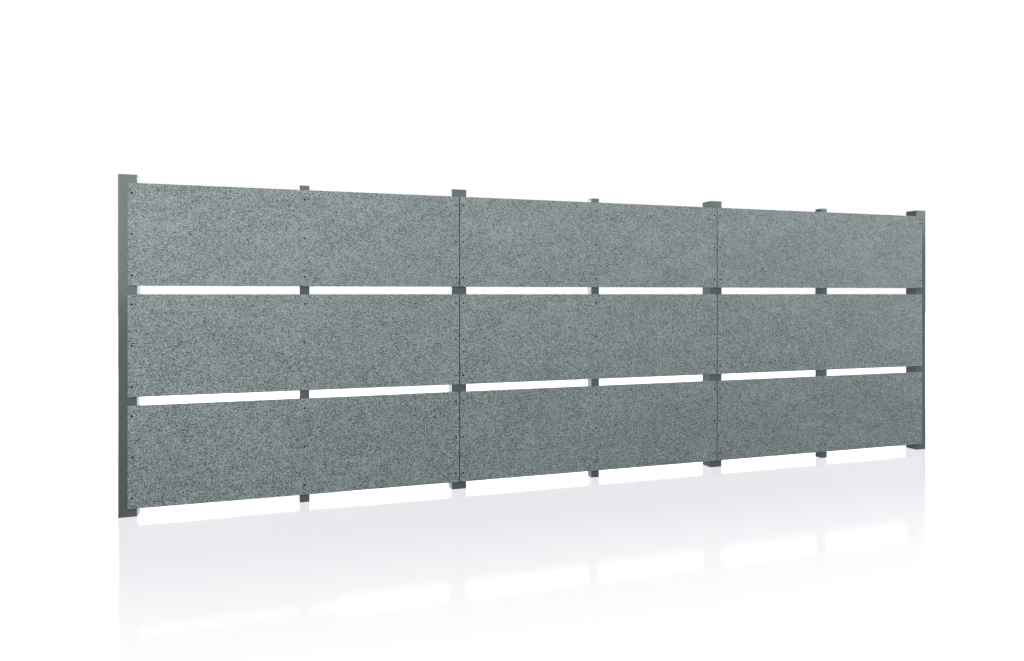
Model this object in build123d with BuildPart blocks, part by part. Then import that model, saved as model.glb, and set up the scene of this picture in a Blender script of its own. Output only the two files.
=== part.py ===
"""A fibre cement fence: square posts that carry three rows of boards, bay after bay.

The frame stands on the ground below the fence's middle post: +X runs along the fence, to the
right for someone who faces the boards, the boards' faces look towards -Y, and +Z is up.
"""

import os

from build123d import *

# Driving dimensions, in millimetres
# Layout of the fence
bay_count = 3
bay_width = 2000.0
ground_clearance = 50.0

# Boards
row_names = ("bottom", "middle", "top")
board_height = 600.0
board_thickness = 15.0
row_gap = 50.0
end_joint = 5.0
board_arris = 1.0

# Posts
main_post_width = 100.0
main_post_wall = 3.0
main_post_rise = 50.0
middle_post_width = 60.0
middle_post_wall = 3.0
middle_post_rise = 30.0
post_outer_radius = 2.0
post_inner_radius = 1.0

# Plug-in caps
cap_flange_thickness = 4.0
cap_flange_chamfer = 1.5
cap_skirt_gap = 2.5
cap_skirt_wall = 2.0
cap_skirt_depth = 26.0
cap_fin_count = 3
cap_fin_thickness = 2.0
cap_fin_tip = 0.6
cap_fin_clearance = 0.3
cap_rib_thickness = 2.0
cap_rib_depth = 12.0

# Plates in the posts' lower ends
foot_plate_thickness = 6.0
foot_plate_clearance = 0.3

# Sizes that follow
row_pitch = board_height + row_gap
boards_top = ground_clearance + len(row_names) * row_pitch - row_gap
board_length = bay_width - end_joint
front_plane = -middle_post_width / 2
left_end = -bay_count * bay_width / 2
cap_fin_pitch = cap_skirt_depth / cap_fin_count


def save(builder, label):
    """Name the finished piece and write it."""
    builder.part.label = label
    export_step(builder.part, f"parts/{label}.step")


def board_middle_x(bay):
    return left_end + (bay + 0.5) * bay_width


def row_middle_z(row):
    return ground_clearance + row * row_pitch + board_height / 2


def board(label, bay, row):
    """One board against the posts' front faces, with eased front edges."""
    back = Plane(
        origin=(board_middle_x(bay), front_plane, row_middle_z(row)),
        x_dir=(1, 0, 0),
        z_dir=(0, -1, 0),
    )
    with BuildPart() as panel:
        with BuildSketch(back):
            Rectangle(board_length, board_height)
        extrude(amount=board_thickness)
        front_edges = panel.faces().sort_by(Axis.Y)[0].edges()
        chamfer(front_edges, board_arris)
    save(panel, label)


def post(label, x, width, wall, rise):
    """A square hollow post with its front face in the front plane, cut to take its cap's flange."""
    bore = width - 2 * wall
    with BuildPart() as tube:
        with BuildSketch(Plane(origin=(x, front_plane + width / 2, 0))):
            RectangleRounded(width, width, post_outer_radius)
            RectangleRounded(bore, bore, post_inner_radius, mode=Mode.SUBTRACT)
        extrude(amount=boards_top + rise - cap_flange_thickness)
    save(tube, label)


def plug_outline(side):
    """A square with its corners cut off, to clear the rounded corners of a post's bore."""
    outline = Rectangle(side, side)
    chamfer(outline.vertices(), post_inner_radius)


def cap(label, x, width, wall, rise):
    """A plug-in cap: a flange on the post's end over a hollow skirt with gripping fins and ribs."""
    y = front_plane + width / 2
    top = boards_top + rise
    seat = Plane(origin=(x, y, top - cap_flange_thickness))
    bore = width - 2 * wall
    skirt = bore - 2 * cap_skirt_gap
    cavity = skirt - 2 * cap_skirt_wall
    fin = bore - 2 * cap_fin_clearance
    with BuildPart() as plug:
        with BuildSketch(seat):
            RectangleRounded(width, width, post_outer_radius)
        extrude(amount=cap_flange_thickness)
        top_edges = plug.faces().sort_by(Axis.Z)[-1].edges()
        chamfer(top_edges, cap_flange_chamfer)
        with BuildSketch(seat):
            plug_outline(skirt)
        extrude(amount=-cap_skirt_depth)
        # Each fin is a wedge that widens upwards to a thin lip
        for number in range(cap_fin_count):
            lip = seat.offset(-(number + 0.5) * cap_fin_pitch)
            with BuildSketch(lip):
                plug_outline(fin)
            extrude(amount=-cap_fin_tip)
            with BuildSketch(lip.offset(-cap_fin_tip)):
                plug_outline(fin)
            with BuildSketch(lip.offset(-cap_fin_tip - cap_fin_thickness)):
                plug_outline(skirt)
            loft()
        with BuildSketch(seat):
            Rectangle(cavity, cavity)
        extrude(amount=-cap_skirt_depth, mode=Mode.SUBTRACT)
        # Two crossed ribs stiffen the flange from below
        with BuildSketch(seat):
            Rectangle(cavity, cap_rib_thickness)
            Rectangle(cap_rib_thickness, cavity)
        extrude(amount=-cap_rib_depth)
    save(plug, label)


def foot_plate(label, x, width, wall):
    """A flat plate inside the post's lower end, level with the cut end."""
    side = width - 2 * wall - 2 * foot_plate_clearance
    with BuildPart() as plate:
        with BuildSketch(Plane(origin=(x, front_plane + width / 2, 0))):
            plug_outline(side)
        extrude(amount=foot_plate_thickness)
    save(plate, label)


os.makedirs("parts", exist_ok=True)

# Boards, row by row
for row, row_name in enumerate(row_names):
    for bay in range(bay_count):
        board(f"{row_name}_board_{bay + 1}", bay, row)

# Main posts stand on the bay lines and carry the ends of the boards on both sides
for number in range(bay_count + 1):
    x = left_end + number * bay_width
    post(f"main_post_{number + 1}", x, main_post_width, main_post_wall, main_post_rise)
    cap(f"main_post_cap_{number + 1}", x, main_post_width, main_post_wall, main_post_rise)
    foot_plate(f"main_post_foot_{number + 1}", x, main_post_width, main_post_wall)

# Middle posts stand behind the middles of the boards
for bay in range(bay_count):
    x = board_middle_x(bay)
    post(f"middle_post_{bay + 1}", x, middle_post_width, middle_post_wall, middle_post_rise)
    cap(f"middle_post_cap_{bay + 1}", x, middle_post_width, middle_post_wall, middle_post_rise)
    foot_plate(f"middle_post_foot_{bay + 1}", x, middle_post_width, middle_post_wall)
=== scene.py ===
import math

import bpy
from bpy.props import FloatProperty, FloatVectorProperty, IntProperty, PointerProperty
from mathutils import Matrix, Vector


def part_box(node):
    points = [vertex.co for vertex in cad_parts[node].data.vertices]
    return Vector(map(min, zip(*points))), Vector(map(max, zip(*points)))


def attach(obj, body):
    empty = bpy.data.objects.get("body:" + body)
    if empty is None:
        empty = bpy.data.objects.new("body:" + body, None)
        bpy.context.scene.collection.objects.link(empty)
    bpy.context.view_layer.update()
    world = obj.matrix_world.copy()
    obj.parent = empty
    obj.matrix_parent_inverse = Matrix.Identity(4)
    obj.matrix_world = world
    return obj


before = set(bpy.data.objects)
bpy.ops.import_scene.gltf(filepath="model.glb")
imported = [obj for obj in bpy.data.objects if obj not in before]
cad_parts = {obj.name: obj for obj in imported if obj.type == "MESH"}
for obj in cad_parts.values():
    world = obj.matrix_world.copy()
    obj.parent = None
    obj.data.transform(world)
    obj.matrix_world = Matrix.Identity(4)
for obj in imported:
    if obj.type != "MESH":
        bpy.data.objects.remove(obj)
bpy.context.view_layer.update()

bl_info = {
    "name": "Fibre Cement Fence Finish",
    "version": (1, 0, 0),
    "blender": (4, 5, 0),
    "location": "View3D > Sidebar > Fence",
    "description": "Finishes the boards and posts of a fence, drives its screws and sets up a pale studio",
    "category": "Object",
}

# Nothing on a fence moves, so all its pieces belong to one body
BODY = "root"

# The nodes of each kind
BOARDS = sorted(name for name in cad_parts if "_board_" in name)
CAPS = sorted(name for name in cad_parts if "_cap_" in name)
FOOT_PLATES = sorted(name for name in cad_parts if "_foot_" in name)
POSTS = sorted(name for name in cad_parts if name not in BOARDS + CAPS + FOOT_PLATES)

# What the frame says about the boards, in metres
FIRST_LOW, FIRST_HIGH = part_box("bottom_board_1")
SECOND_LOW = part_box("bottom_board_2")[0]
ABOVE_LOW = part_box("middle_board_1")[0]
BOARD_FRONT = FIRST_LOW.y
BAY_PITCH = SECOND_LOW.x - FIRST_LOW.x
ROW_PITCH = ABOVE_LOW.z - FIRST_LOW.z
END_JOINT = SECOND_LOW.x - FIRST_HIGH.x
ROW_GAP = ABOVE_LOW.z - FIRST_HIGH.z

# A face looks along an axis if its normal has more than this share of it
SQUARE_ON = 0.9

# Two places in a mesh are the same if they are nearer than this, in metres
TOUCH = 1e-6

BLACK = (0.0, 0.0, 0.0)
WHITE = (1.0, 1.0, 1.0)


class BoardFinish(bpy.types.PropertyGroup):
    """Colours and grain of the fibre cement."""

    light: FloatVectorProperty(
        name="Light cement",
        description="Colour of the clean cement between the specks",
        subtype="COLOR",
        min=0.0,
        max=1.0,
        default=(0.400, 0.478, 0.512),
    )
    dark: FloatVectorProperty(
        name="Dark speck",
        description="Colour of the darkest specks",
        subtype="COLOR",
        min=0.0,
        max=1.0,
        default=(0.010, 0.022, 0.025),
    )
    # Painted shade: the boards' end faces are darkened as the shade in the narrow joints between them
    end_shade: FloatProperty(
        name="Painted end shade",
        description="How dark the boards' end faces are painted, as shade in the narrow joints",
        subtype="FACTOR",
        min=0.0,
        max=1.0,
        default=0.90,
    )
    speck_size: FloatProperty(
        name="Speck size",
        description="Distance from one large speck to the next",
        default=0.0050,
        unit="LENGTH",
    )
    fine_speck_size: FloatProperty(
        name="Fine speck size",
        description="Distance from one fine speck to the next",
        default=0.0025,
        unit="LENGTH",
    )
    speck_stretch: FloatProperty(
        name="Speck stretch",
        description="How many times as long as high the specks are",
        default=2.2,
    )
    cluster_size: FloatProperty(
        name="Cluster size",
        description="Width of the small clusters in which the specks are darkest",
        default=0.032,
        unit="LENGTH",
    )
    drift_size: FloatProperty(
        name="Drift size",
        description="Width of the drifts in which the specks are darker",
        default=0.095,
        unit="LENGTH",
    )
    cloud_size: FloatProperty(
        name="Cloud size",
        description="Width of the soft clouds in the surface",
        default=0.30,
        unit="LENGTH",
    )
    grain_size: FloatProperty(
        name="Grain size",
        description="Distance from one grain to the next",
        default=0.0010,
        unit="LENGTH",
    )
    grain_depth: FloatProperty(
        name="Grain depth",
        description="Height of the surface grain",
        default=0.0004,
        unit="LENGTH",
    )
    stretch: FloatProperty(
        name="Pattern stretch",
        description="How many times as long as high the grain, clusters, drifts and clouds are",
        default=1.4,
    )
    roughness: FloatVectorProperty(
        name="Roughness",
        description="Roughness of the cement where its grain is low and where it is high",
        size=2,
        default=(0.56, 0.68),
    )


class CoatFinish(bpy.types.PropertyGroup):
    """Powder coat of the posts and the plastic of their caps."""

    coat: FloatVectorProperty(
        name="Powder coat",
        description="Colour of the posts",
        subtype="COLOR",
        min=0.0,
        max=1.0,
        default=(0.055, 0.091, 0.092),
    )
    shade_size: FloatProperty(
        name="Shade size",
        description="Width of the slow changes of shade in the powder coat",
        default=0.35,
        unit="LENGTH",
    )
    peel_size: FloatProperty(
        name="Orange peel",
        description="Width of the ripples in the powder coat",
        default=0.0025,
        unit="LENGTH",
    )
    peel_depth: FloatProperty(
        name="Orange peel depth",
        description="Height of the ripples in the powder coat",
        default=0.00006,
        unit="LENGTH",
    )
    coat_roughness: FloatVectorProperty(
        name="Coat roughness",
        description="Roughness of the powder coat where its shade is dark and where it is light",
        size=2,
        default=(0.17, 0.23),
    )
    plastic: FloatVectorProperty(
        name="Cap plastic",
        description="Colour of the moulded caps",
        subtype="COLOR",
        min=0.0,
        max=1.0,
        default=(0.058, 0.086, 0.085),
    )
    plastic_grain_size: FloatProperty(
        name="Plastic grain",
        description="Width of the matt grain of the caps",
        default=0.0010,
        unit="LENGTH",
    )
    plastic_grain_depth: FloatProperty(
        name="Plastic grain depth",
        description="Height of the matt grain of the caps",
        default=0.00005,
        unit="LENGTH",
    )
    plastic_roughness: FloatVectorProperty(
        name="Plastic roughness",
        description="Roughness of the caps where their grain is low and where it is high",
        size=2,
        default=(0.5, 0.6),
    )


class ScrewSizes(bpy.types.PropertyGroup):
    """The screws that hold the boards."""

    head_width: FloatProperty(
        name="Head width",
        description="Diameter of the screw head",
        default=0.0120,
        unit="LENGTH",
    )
    head_height: FloatProperty(
        name="Head height",
        description="How far the head stands out of the board",
        default=0.0028,
        unit="LENGTH",
    )
    shank_width: FloatProperty(
        name="Shank width",
        description="Diameter of the shank",
        default=0.0055,
        unit="LENGTH",
    )
    length: FloatProperty(
        name="Length",
        description="Length of the screw below its head",
        default=0.032,
        unit="LENGTH",
    )
    edge_inset: FloatProperty(
        name="Edge inset",
        description="Distance of the outer screws from the board's upper and lower edges",
        default=0.060,
        unit="LENGTH",
    )
    end_inset: FloatProperty(
        name="End inset",
        description="Distance of the outer screws from the board's ends",
        default=0.0225,
        unit="LENGTH",
    )
    per_column: IntProperty(
        name="Screws in a column",
        description="Screws above each other at each post",
        default=3,
        min=2,
    )
    paint: FloatVectorProperty(
        name="Screw paint",
        description="Colour of the painted screws",
        subtype="COLOR",
        min=0.0,
        max=1.0,
        default=(0.005, 0.0065, 0.007),
    )
    wear_size: FloatProperty(
        name="Wear size",
        description="Width of the worn spots in the screws' paint",
        default=0.003,
        unit="LENGTH",
    )
    roughness: FloatVectorProperty(
        name="Roughness",
        description="Roughness of the screws' paint where it is whole and where it is worn",
        size=2,
        default=(0.65, 0.80),
    )


class StudioSettings(bpy.types.PropertyGroup):
    """Camera, floor and light."""

    camera_place: FloatVectorProperty(
        name="Camera place",
        description="Where the camera stands",
        default=(-2.2025, -4.5358, 1.303),
        subtype="TRANSLATION",
        unit="LENGTH",
    )
    camera_turn: FloatProperty(
        name="Camera turn",
        description="How far the level camera is turned to the right of the boards' normal",
        default=math.radians(17.21),
        subtype="ANGLE",
    )
    focal_pixels: FloatProperty(
        name="Focal length",
        description="Focal length in pixels of the picture",
        default=697.6,
    )
    centre_pixels: FloatVectorProperty(
        name="Optical centre",
        description="The pixel that the camera points at",
        size=2,
        default=(486.75, 293.8),
    )
    picture_pixels: FloatVectorProperty(
        name="Picture size",
        description="Width and height of the picture in pixels",
        size=2,
        default=(1024.0, 661.0),
    )
    room_brightness: FloatProperty(
        name="Room brightness",
        description="Strength of the even light from all round",
        default=0.27,
    )
    room_colour: FloatVectorProperty(
        name="Room colour",
        description="Cool tint of the even light from all round",
        subtype="COLOR",
        min=0.0,
        default=(0.86, 1.0, 1.05),
    )
    front_brightness: FloatProperty(
        name="Front brightness",
        description="Brightness of the soft boxes in front of the fence",
        default=3.7,
    )
    front_colour: FloatVectorProperty(
        name="Front colour",
        description="Warm tint of the soft boxes in front of the fence",
        subtype="COLOR",
        min=0.0,
        default=(1.0, 0.96, 0.885),
    )
    back_brightness: FloatProperty(
        name="Back brightness",
        description="Brightness of the soft boxes behind and beside the fence",
        default=2.0,
    )
    floor_size: FloatProperty(
        name="Floor size",
        description="Length of the floor's sides",
        default=80.0,
        unit="LENGTH",
    )
    floor_drop: FloatProperty(
        name="Floor drop",
        description="How far the floor lies below the posts' feet, so that their faces don't meet",
        default=0.0005,
        unit="LENGTH",
    )
    floor_colour: FloatVectorProperty(
        name="Floor colour",
        description="Colour of the floor under the lamps",
        subtype="COLOR",
        min=0.0,
        max=1.0,
        default=(0.18, 0.18, 0.18),
    )
    # Painted shadow: the floor's own white is cooler and dimmer at the fence than away from it
    painted_shadow_tint: FloatVectorProperty(
        name="Painted shadow tint",
        description="Colour of the floor's own white at the fence, cool as painted shadow",
        subtype="COLOR",
        min=0.0,
        default=(0.960, 0.945, 1.0),
    )
    floor_white_and_painted_shadow: FloatVectorProperty(
        name="Floor white and painted shadow",
        description="Share of the floor's white that no shadow takes away, at the fence, lower there as painted shadow, and away from it",
        size=2,
        default=(0.71, 0.95),
    )
    painted_shadow_reach: FloatVectorProperty(
        name="Reach of the painted shadow",
        description="Distances from the fence between which the first share turns into the second",
        size=2,
        default=(0.7, 2.8),
        unit="LENGTH",
    )


class Value:
    """A shader socket that Python arithmetic works on, by adding Math nodes."""

    def __init__(self, finish, socket):
        self.finish = finish
        self.socket = socket

    def maths(self, operation, first, second=0.0):
        settings = {"operation": operation}
        return self.finish.node("ShaderNodeMath", settings, {0: first, 1: second}).out()

    def __add__(self, other):
        return self.maths("ADD", self, other)

    def __radd__(self, other):
        return self.maths("ADD", other, self)

    def __sub__(self, other):
        return self.maths("SUBTRACT", self, other)

    def __rsub__(self, other):
        return self.maths("SUBTRACT", other, self)

    def __mul__(self, other):
        return self.maths("MULTIPLY", self, other)

    def __rmul__(self, other):
        return self.maths("MULTIPLY", other, self)

    def __truediv__(self, other):
        return self.maths("DIVIDE", self, other)

    def __rtruediv__(self, other):
        return self.maths("DIVIDE", other, self)

    def __gt__(self, other):
        return self.maths("GREATER_THAN", self, other)

    def __lt__(self, other):
        return self.maths("LESS_THAN", self, other)

    def __abs__(self):
        return self.maths("ABSOLUTE", self)

    def floor(self):
        return self.maths("FLOOR", self)

    def most(self, other):
        return self.maths("MAXIMUM", self, other)


class Made:
    """A node that was just made, for reading its outputs."""

    def __init__(self, finish, node):
        self.finish = finish
        self.node = node

    def out(self, name=0):
        return Value(self.finish, self.node.outputs[name])


class Finish:
    """The node tree of one material or of the world."""

    # A Mix node has sockets of the same name for every data type, so its colour sockets go by number
    mix_first = 6
    mix_second = 7
    mix_result = 2

    # Noise is flat on the planes where its cells meet, so patterns move off them by this share of a cell
    off_plane = 0.35

    def __init__(self, owner):
        owner.use_nodes = True
        self.owner = owner
        self.tree = owner.node_tree
        self.tree.nodes.clear()

    def node(self, kind, settings=None, sockets=None):
        """Add a node, make its settings, then set or link its sockets."""
        made = self.tree.nodes.new(kind)
        for name, value in (settings or {}).items():
            setattr(made, name, value)
        for name, value in (sockets or {}).items():
            if isinstance(value, Value):
                self.tree.links.new(value.socket, made.inputs[name])
            else:
                made.inputs[name].default_value = value
        return Made(self, made)

    def add(self, first, second):
        """The sum of two vectors."""
        settings = {"operation": "ADD"}
        return self.node("ShaderNodeVectorMath", settings, {0: first, 1: second}).out()

    def split(self, vector):
        """The three parts of a vector."""
        parts = self.node("ShaderNodeSeparateXYZ", None, {"Vector": vector})
        return parts.out("X"), parts.out("Y"), parts.out("Z")

    def place(self, stretch=1.0):
        """The object's own coordinates, stretched along X."""
        own = self.node("ShaderNodeTexCoord").out("Object")
        sockets = {"Vector": own, "Scale": (1 / stretch, 1.0, 1.0)}
        return self.node("ShaderNodeMapping", None, sockets).out()

    def ramp(self, value, stops, shape="SMOOTHSTEP"):
        """A ramp from 0 to 1 between two stops."""
        low, high = stops
        settings = {"interpolation_type": shape}
        sockets = {"Value": value, "From Min": low, "From Max": high}
        return self.node("ShaderNodeMapRange", settings, sockets).out("Result")

    def noise(self, place, size, detail=2.0, roughness=0.5):
        """Soft noise from 0 to 1 whose bumps are about this far apart, in metres."""
        shift = (self.off_plane * size,) * 3
        sockets = {
            "Vector": self.add(place, shift),
            "Scale": 1 / size,
            "Detail": detail,
            "Roughness": roughness,
        }
        return self.node("ShaderNodeTexNoise", None, sockets).out("Fac")

    def patches(self, place, size, stops, detail, roughness):
        """Noise made into patches: 0 up to the first stop and 1 from the second on."""
        return self.ramp(self.noise(place, size, detail, roughness), stops)

    def between(self, share, ends):
        """A value that goes from the first end to the second as a share goes from 0 to 1."""
        low, high = ends
        return low + share * (high - low)

    def blend(self, share, first, second):
        """Mix two colours by a share."""
        sockets = {"Factor": share, self.mix_first: first, self.mix_second: second}
        return self.node("ShaderNodeMix", {"data_type": "RGBA"}, sockets).out(self.mix_result)

    def bump(self, relief, depth, strength):
        """A normal that follows a relief of this depth, in metres."""
        sockets = {"Height": relief, "Distance": depth, "Strength": strength}
        return self.node("ShaderNodeBump", None, sockets).out()

    def looked_at(self):
        """1 for what the camera sees, also mirrored or through glass, and 0 for light on other things."""
        path = self.node("ShaderNodeLightPath")
        mirrored = path.out("Is Glossy Ray")
        through = path.out("Is Transmission Ray")
        return path.out("Is Camera Ray").most(mirrored).most(through)

    def surface(self, sockets):
        """A principled surface with these sockets, as the material's output."""
        shader = self.node("ShaderNodeBsdfPrincipled", None, sockets).out()
        self.node("ShaderNodeOutputMaterial", None, {"Surface": shader})


def solid(colour, times=1.0):
    """A colour with its alpha, made this many times as bright."""
    return (*[part * times for part in colour], 1.0)


def new_finish(name):
    """A finish in a new material."""
    return Finish(bpy.data.materials.new(name))


def give(node_names, finish):
    """Give a finish to CAD nodes."""
    for name in node_names:
        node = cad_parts[name]
        for slot in node.material_slots:
            slot.material = finish.owner


# How far the cement's pattern jumps from bay to bay and from row to row, in metres
BAY_JUMP_X = 7.31
BAY_JUMP_Z = 2.39
ROW_JUMP_X = 2.77
ROW_JUMP_Z = 5.13

# The dark of a large and of a fine speck, and how much darker each is in a drift and in a cluster
SPECK_DARK = 0.04
SPECK_DARK_IN_DRIFT = 0.18
SPECK_DARK_IN_CLUSTER = 0.16
FINE_DARK = 0.73
FINE_DARK_IN_DRIFT = 0.17
FINE_DARK_IN_CLUSTER = 0.20

# What noise is on average, and how much the clouds change the dark
NOISE_MIDDLE = 0.5
CLOUD_DARK = 0.16

# The contrast about the boards' average dark, low and high on the fence, and the heights in metres
# between which the one turns into the other; the lower contrast high up is painted sheen, as of the lamps'
# haze
AVERAGE_DARK = 0.30
LOW_CONTRAST = 1.68
HIGH_CONTRAST = 1.14
CONTRAST_HEIGHTS = (0.45, 1.55)

# The amounts of dark that show as clean cement and as the darkest speck
DARK_STOPS = (-0.19, 0.96)

# How deep a large and a fine speck are, against the height of the grain
SPECK_PIT = 0.6
FINE_PIT = 0.3


def board_place(finish, stretch):
    """Coordinates from the boards' front that jump from board to board, so that their patterns differ."""
    x, _, z = finish.split(finish.place())
    bay = ((x - (FIRST_LOW.x - END_JOINT / 2)) / BAY_PITCH).floor()
    row = ((z - (FIRST_LOW.z - ROW_GAP / 2)) / ROW_PITCH).floor()
    jump_x = bay * BAY_JUMP_X + row * ROW_JUMP_X
    jump_z = bay * BAY_JUMP_Z + row * ROW_JUMP_Z
    jump = finish.node("ShaderNodeCombineXYZ", None, {"X": jump_x, "Y": -BOARD_FRONT, "Z": jump_z})
    return finish.add(finish.place(stretch), jump.out())


def fibre_cement(settings):
    """Pale cement with dark streaky specks in clusters and drifts, soft clouds, and end faces painted dark
    as shade in the joints.
    """
    finish = new_finish("fibre_cement")
    place = board_place(finish, settings.stretch)
    streaks = board_place(finish, settings.speck_stretch)
    clouds = finish.noise(place, settings.cloud_size)
    drifts = finish.patches(place, settings.drift_size, stops=(0.30, 0.70), detail=3.0, roughness=0.6)
    clusters = finish.patches(place, settings.cluster_size, stops=(0.34, 0.66), detail=2.0, roughness=0.6)
    specks = finish.patches(streaks, settings.speck_size, stops=(0.50, 0.64), detail=2.5, roughness=0.65)
    fine = finish.patches(streaks, settings.fine_speck_size, stops=(0.45, 0.60), detail=3.0, roughness=0.65)
    grain = finish.noise(place, settings.grain_size, detail=4.0, roughness=0.7)

    # Add up the dark of all the layers, then raise its contrast, less high on the fence as painted sheen
    speck_dark = drifts * SPECK_DARK_IN_DRIFT + clusters * SPECK_DARK_IN_CLUSTER + SPECK_DARK
    fine_dark = drifts * FINE_DARK_IN_DRIFT + clusters * FINE_DARK_IN_CLUSTER + FINE_DARK
    shade = (NOISE_MIDDLE - grain) + (NOISE_MIDDLE - clouds) * CLOUD_DARK
    dark = specks * speck_dark + fine * fine_dark + shade
    # Painted sheen: the specks lose contrast higher up, as under the lamps' haze
    _, _, height = finish.split(finish.place())
    painted_sheen_share = finish.ramp(height, stops=CONTRAST_HEIGHTS)
    contrast = LOW_CONTRAST - painted_sheen_share * (LOW_CONTRAST - HIGH_CONTRAST)
    dark = (dark - AVERAGE_DARK) * contrast + AVERAGE_DARK
    tone = finish.ramp(dark, stops=DARK_STOPS, shape="LINEAR")
    colour = finish.blend(tone, solid(settings.light), solid(settings.dark))

    # The boards' end faces are painted dark, as the shade in the narrow joints between them
    sideways, _, _ = finish.split(finish.node("ShaderNodeNewGeometry").out("True Normal"))
    shaded_end = abs(sideways) > SQUARE_ON
    colour = finish.blend(shaded_end * settings.end_shade, colour, solid(settings.dark))

    relief = grain - specks * SPECK_PIT - fine * FINE_PIT
    finish.surface(
        {
            "Base Color": colour,
            "Roughness": finish.between(grain, settings.roughness),
            "Normal": finish.bump(relief, settings.grain_depth, strength=0.5),
        }
    )
    return finish


def powder_coat(settings):
    """A satin green-grey powder coat with a fine orange peel."""
    finish = new_finish("powder_coat")
    place = finish.place()
    shade = finish.noise(place, settings.shade_size, detail=3.0)
    share = finish.ramp(shade, stops=(0.3, 0.7))
    peel = finish.noise(place, settings.peel_size)
    finish.surface(
        {
            "Base Color": finish.blend(share, solid(settings.coat), solid(settings.coat, times=1.12)),
            "Roughness": finish.between(shade, settings.coat_roughness),
            "IOR": 1.42,
            "Normal": finish.bump(peel, settings.peel_depth, strength=0.5),
        }
    )
    return finish


def cap_plastic(settings):
    """Moulded plastic with a fine matt grain."""
    finish = new_finish("cap_plastic")
    grain = finish.noise(finish.place(), settings.plastic_grain_size)
    finish.surface(
        {
            "Base Color": finish.blend(grain, solid(settings.plastic), solid(settings.plastic, times=1.2)),
            "Roughness": finish.between(grain, settings.plastic_roughness),
            "Normal": finish.bump(grain, settings.plastic_grain_depth, strength=0.6),
        }
    )
    return finish


def screw_paint(settings):
    """Dark painted steel, a little worn."""
    finish = new_finish("screw_paint")
    wear = finish.noise(finish.place(), settings.wear_size, detail=3.0)
    finish.surface(
        {
            "Base Color": finish.blend(wear, solid(settings.paint), solid(settings.paint, times=2.0)),
            "Roughness": finish.between(wear, settings.roughness),
            "IOR": 1.3,
        }
    )
    return finish


class FENCE_OT_boards(bpy.types.Operator):
    """Finish the boards"""

    bl_idname = "fence.boards"
    bl_label = "Finish boards"

    def execute(self, context):
        give(BOARDS, fibre_cement(context.scene.fence_boards))
        return {"FINISHED"}


class FENCE_OT_posts(bpy.types.Operator):
    """Finish the posts and the foot plates in their lower ends"""

    bl_idname = "fence.posts"
    bl_label = "Finish posts"

    def execute(self, context):
        give(POSTS + FOOT_PLATES, powder_coat(context.scene.fence_coat))
        return {"FINISHED"}


class FENCE_OT_caps(bpy.types.Operator):
    """Finish the caps of the posts"""

    bl_idname = "fence.caps"
    bl_label = "Finish caps"

    def execute(self, context):
        give(CAPS, cap_plastic(context.scene.fence_coat))
        return {"FINISHED"}


# The head has this many corners all round, and the screw's edges are smooth up to this angle
HEAD_CORNERS = 24
SMOOTH_ANGLE = math.radians(40)

# The rim takes this share of the head's height
RIM_SHARE = 0.45

# Each step of the crown takes a share of the head's height and narrows it to a share of its width
CROWN_STEPS = ((0.28, 0.86), (0.19, 0.80), (0.08, 0.80))

# The drive has this many lobes inside a ring, whose width is this share of the crown's flat
DRIVE_LOBES = 6
RING_SHARE = 0.10

# Corners within this share of the flat, and more than these degrees from a lobe's middle, lie in a
# valley between two lobes, and move in to this share of their distance from the axis
INSIDE_RING = 0.92
VALLEY_TURN = 22
VALLEY_REACH = 0.78

# The drive goes down this share of the head's height, to a floor of this share of its mouth
DRIVE_DEPTH = 0.75
DRIVE_FLOOR = 0.92

# The head's middle face has its own middle within this share of the head's radius
MIDDLE_SHARE = 0.05

# The drill point is this many shank widths long and ends at this share of the shank's width
POINT_LENGTH = 1.4
POINT_END = 0.12


def screw_places(low, high, sizes):
    """Where the screws of one board go, on its front face."""
    left = low.x + sizes.end_inset
    right = high.x - sizes.end_inset
    bottom = low.z + sizes.edge_inset
    step = (high.z - low.z - 2 * sizes.edge_inset) / (sizes.per_column - 1)
    places = []
    for x in (left, (left + right) / 2, right):
        for number in range(sizes.per_column):
            places.append(Vector((x, low.y, bottom + number * step)))
    return places


def choose(piece, kind, wanted):
    """In edit mode, select only the faces or vertices that are wanted."""
    bpy.ops.mesh.select_all(action="DESELECT")
    bpy.ops.object.mode_set(mode="OBJECT")
    for part in getattr(piece.data, kind):
        part.select = wanted(part)
    bpy.ops.object.mode_set(mode="EDIT")


def narrow(scale):
    """Scale the selection towards the Y axis."""
    bpy.ops.transform.resize(value=(scale, 1, scale), center_override=(0, 0, 0))


def push(distance, scale):
    """Extrude the selection along Y and scale the new end towards the Y axis."""
    bpy.ops.mesh.extrude_region_move(TRANSFORM_OT_translate={"value": (0, distance, 0)})
    narrow(scale)


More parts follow.
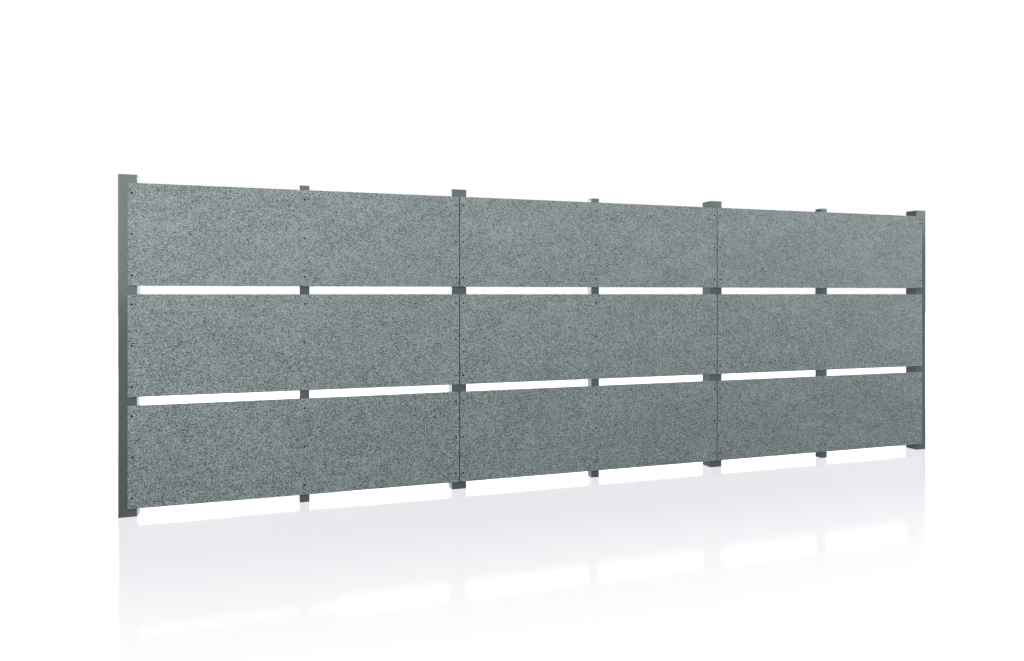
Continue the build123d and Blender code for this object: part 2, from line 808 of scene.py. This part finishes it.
def model_screw(sizes):
    """One screw at the origin that points along +Y, with its head's underside in the plane Y = 0."""
    bpy.ops.object.select_all(action="DESELECT")
    radius = sizes.head_width / 2
    rim = sizes.head_height * RIM_SHARE
    bpy.ops.mesh.primitive_cylinder_add(
        vertices=HEAD_CORNERS,
        radius=radius,
        depth=rim,
        location=(0, -rim / 2, 0),
        rotation=(math.pi / 2, 0, 0),
    )
    screw = bpy.context.object
    screw.name = "screw"
    bpy.ops.object.transform_apply(location=True, rotation=True, scale=True)
    bpy.ops.object.mode_set(mode="EDIT")
    bpy.ops.mesh.select_mode(type="FACE")

    # The crown rises in steps to a small flat
    choose(screw, "polygons", lambda face: face.normal.y < -SQUARE_ON)
    flat = radius
    for share, scale in CROWN_STEPS:
        push(-sizes.head_height * share, scale)
        flat *= scale

    # The flat becomes a lobed drive
    bpy.ops.mesh.inset(thickness=flat * RING_SHARE, depth=0)
    lobe_turn = 360 / DRIVE_LOBES

    def in_valley(vertex):
        """Whether a corner on the flat, inside the ring, lies between two lobes."""
        turn = math.degrees(math.atan2(vertex.co.z, vertex.co.x))
        from_lobe = abs((turn + lobe_turn / 2) % lobe_turn - lobe_turn / 2)
        on_flat = vertex.co.y < TOUCH - sizes.head_height
        return on_flat and vertex.co.xz.length < flat * INSIDE_RING and from_lobe > VALLEY_TURN

    def in_middle(face):
        """Whether a face is the one in the middle of the head."""
        return face.normal.y < -SQUARE_ON and face.center.xz.length < radius * MIDDLE_SHARE

    bpy.ops.mesh.select_mode(type="VERT")
    choose(screw, "vertices", in_valley)
    narrow(VALLEY_REACH)
    bpy.ops.mesh.select_mode(type="FACE")
    choose(screw, "polygons", in_middle)
    push(sizes.head_height * DRIVE_DEPTH, DRIVE_FLOOR)

    # The shank goes through the board and the post's wall to a drill point
    choose(screw, "polygons", lambda face: face.normal.y > SQUARE_ON and face.center.y > -TOUCH)
    bpy.ops.mesh.inset(thickness=radius - sizes.shank_width / 2, depth=0)
    point = sizes.shank_width * POINT_LENGTH
    push(sizes.length - point, 1)
    push(point, POINT_END)

    bpy.ops.mesh.select_all(action="SELECT")
    bpy.ops.mesh.normals_make_consistent(inside=False)
    bpy.ops.object.mode_set(mode="OBJECT")
    bpy.ops.object.shade_smooth_by_angle(angle=SMOOTH_ANGLE)
    return screw


class FENCE_OT_screws(bpy.types.Operator):
    """Drive the screws that hold the boards to the posts"""

    bl_idname = "fence.screws"
    bl_label = "Drive screws"

    def execute(self, context):
        sizes = context.scene.fence_screws
        finish = screw_paint(sizes)
        pattern = model_screw(sizes)
        pattern.data.materials.append(finish.owner)
        for board in BOARDS:
            low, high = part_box(board)
            bpy.ops.object.select_all(action="DESELECT")
            for place in screw_places(low, high, sizes):
                copy = pattern.copy()
                copy.data = pattern.data.copy()
                copy.location = place
                context.scene.collection.objects.link(copy)
                copy.select_set(True)
                context.view_layer.objects.active = copy
            bpy.ops.object.transform_apply(location=True, rotation=True, scale=True)
            bpy.ops.object.join()
            piece = context.object
            piece.name = f"{board}_screws"
            piece.data.name = piece.name
            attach(piece, BODY)
        bpy.data.objects.remove(pattern)
        return {"FINISHED"}


# Where the upright lamps stand, in metres
FRONT_LAMPS_Y = -4.2
FAR_LAMPS_Y = 16.0
FAR_LAMPS_HEIGHTS = (0.8, 6.0)


def add_lamp(name, place, target, size, brightness, colour=WHITE):
    """A rectangular soft box that is turned to its target and looks white at a brightness of 1."""
    width, height = size
    lamp = bpy.data.lights.new(name, "AREA")
    lamp.shape = "RECTANGLE"
    lamp.size = width
    lamp.size_y = height
    lamp.energy = brightness * math.pi * width * height
    lamp.color = colour
    holder = bpy.data.objects.new(name, lamp)
    holder.location = place
    holder.rotation_euler = (Vector(target) - Vector(place)).to_track_quat("-Z", "Y").to_euler()
    holder.visible_camera = False
    bpy.context.scene.collection.objects.link(holder)
    return holder


def add_upright_lamp(name, y, left, right, low, high, brightness, colour=WHITE):
    """A soft box that stands upright along X, at this Y, and faces the fence."""
    place = Vector(((left + right) / 2, y, (low + high) / 2))
    target = place - Vector((0, math.copysign(1, y), 0))
    add_lamp(name, place, target, (right - left, high - low), brightness, colour)


class FENCE_OT_studio(bpy.types.Operator):
    """Set up the camera, the pale floor and the soft light"""

    bl_idname = "fence.studio"
    bl_label = "Set up studio"

    def execute(self, context):
        settings = context.scene.fence_studio
        self.camera(context, settings)
        self.room(context, settings)
        self.floor(context, settings)
        self.front_lamps(settings)
        self.other_lamps(settings)
        context.scene.view_settings.view_transform = "Standard"
        return {"FINISHED"}

    def camera(self, context, settings):
        """A level camera whose lens is shifted to the picture's optical centre."""
        lens = bpy.data.cameras.new("camera")
        camera = bpy.data.objects.new("camera", lens)
        context.scene.collection.objects.link(camera)
        width, height = settings.picture_pixels
        centre_x, centre_y = settings.centre_pixels
        lens.lens = settings.focal_pixels / width * lens.sensor_width
        lens.shift_x = (width / 2 - centre_x) / width
        lens.shift_y = (centre_y - height / 2) / width
        camera.location = settings.camera_place
        camera.rotation_euler = (math.pi / 2, 0.0, -settings.camera_turn)
        context.scene.camera = camera

    def room(self, context, settings):
        """A world that looks white and gives a dimmer and cooler light."""
        world = bpy.data.worlds.new("studio")
        context.scene.world = world
        finish = Finish(world)
        seen = finish.looked_at()
        sockets = {
            "Color": finish.blend(seen, solid(settings.room_colour), solid(WHITE)),
            "Strength": seen + (1 - seen) * settings.room_brightness,
        }
        background = finish.node("ShaderNodeBackground", None, sockets).out()
        finish.node("ShaderNodeOutputWorld", None, {"Surface": background})

    def floor(self, context, settings):
        """A pale floor with a real soft shadow and reflection of the fence, and a painted cool shadow in
        its white near the fence.
        """
        bpy.ops.object.select_all(action="DESELECT")
        bpy.ops.mesh.primitive_plane_add(size=settings.floor_size, location=(0, 0, -settings.floor_drop))
        floor = context.object
        floor.name = "studio_floor"
        finish = new_finish("studio_floor")
        # Painted shadow: the floor's own white is lower and cooler near the fence, and rises away from it
        _, from_fence, _ = finish.split(finish.place())
        away = finish.ramp(abs(from_fence), stops=settings.painted_shadow_reach, shape="LINEAR")
        at_fence, far_off = settings.floor_white_and_painted_shadow
        painted_shadow_white = solid(settings.painted_shadow_tint, times=at_fence)
        far_white = solid(WHITE, times=far_off)
        white_with_painted_shadow = finish.blend(away, painted_shadow_white, far_white)
        finish.surface(
            {
                "Base Color": solid(settings.floor_colour),
                "Roughness": 0.10,
                "IOR": 1.5,
                "Emission Color": finish.blend(finish.looked_at(), solid(BLACK), white_with_painted_shadow),
                "Emission Strength": 1.0,
            }
        )
        floor.data.materials.append(finish.owner)

    def front_lamps(self, settings):
        """Warm soft boxes in front of the fence: a row above its height, and one below on the left."""
        for name, left, right, low, high, share in (
            ("front_lamp_left", -8.0, -2.0, 2.35, 4.75, 1.10),
            ("front_lamp_middle", -2.0, 4.0, 2.35, 4.75, 0.72),
            ("front_lamp_right", 4.0, 10.0, 2.35, 4.75, 1.12),
            ("front_lamp_low", -4.8, -3.1, 1.2, 2.35, 1.05),
        ):
            brightness = settings.front_brightness * share
            add_upright_lamp(name, FRONT_LAMPS_Y, left, right, low, high, brightness, settings.front_colour)

    def other_lamps(self, settings):
        """White soft boxes behind the fence, far behind it to light the posts' sides, and beside it."""
        add_lamp(
            "back_lamp",
            place=(5.0, 8.0, 3.5),
            target=(4.0, 0, 1.0),
            size=(12.0, 3.0),
            brightness=settings.back_brightness * 1.6,
        )
        low, high = FAR_LAMPS_HEIGHTS
        for name, left, right, share in (
            ("far_lamp_left", -8.4, -6.4, 4.6),
            ("far_lamp_middle", -6.4, -3.2, 1.15),
            ("far_lamp_right", -3.2, 1.5, 0.42),
        ):
            brightness = settings.back_brightness * share
            add_upright_lamp(name, FAR_LAMPS_Y, left, right, low, high, brightness)
        for name, side in (("side_lamp_left", -1), ("side_lamp_right", 1)):
            lamp = add_lamp(
                name,
                place=(side * 6.5, 0, 1.8),
                target=(side * 3.0, 0, 1.2),
                size=(3.0, 2.6),
                brightness=settings.back_brightness * 0.7,
            )
            # Nothing mirrors this lamp, because the floor would show it as a pale patch
            lamp.visible_glossy = False


class FENCE_PT_panel(bpy.types.Panel):
    """The fence's steps, in order"""

    bl_idname = "FENCE_PT_panel"
    bl_label = "Fence"
    bl_space_type = "VIEW_3D"
    bl_region_type = "UI"
    bl_category = "Fence"

    def draw(self, context):
        for operator in OPERATORS:
            self.layout.operator(operator.bl_idname)


GROUPS = {
    "fence_boards": BoardFinish,
    "fence_coat": CoatFinish,
    "fence_screws": ScrewSizes,
    "fence_studio": StudioSettings,
}
OPERATORS = (FENCE_OT_studio, FENCE_OT_boards, FENCE_OT_posts, FENCE_OT_caps, FENCE_OT_screws)


def register():
    for group in GROUPS.values():
        bpy.utils.register_class(group)
    for operator in OPERATORS:
        bpy.utils.register_class(operator)
    bpy.utils.register_class(FENCE_PT_panel)
    for name, group in GROUPS.items():
        setattr(bpy.types.Scene, name, PointerProperty(type=group))


def unregister():
    for name in GROUPS:
        delattr(bpy.types.Scene, name)
    bpy.utils.unregister_class(FENCE_PT_panel)
    for operator in reversed(OPERATORS):
        bpy.utils.unregister_class(operator)
    for group in reversed(GROUPS.values()):
        bpy.utils.unregister_class(group)


def main():
    register()
    bpy.ops.fence.studio()
    bpy.ops.fence.boards()
    bpy.ops.fence.posts()
    bpy.ops.fence.caps()
    bpy.ops.fence.screws()


if __name__ == "__main__":
    main()
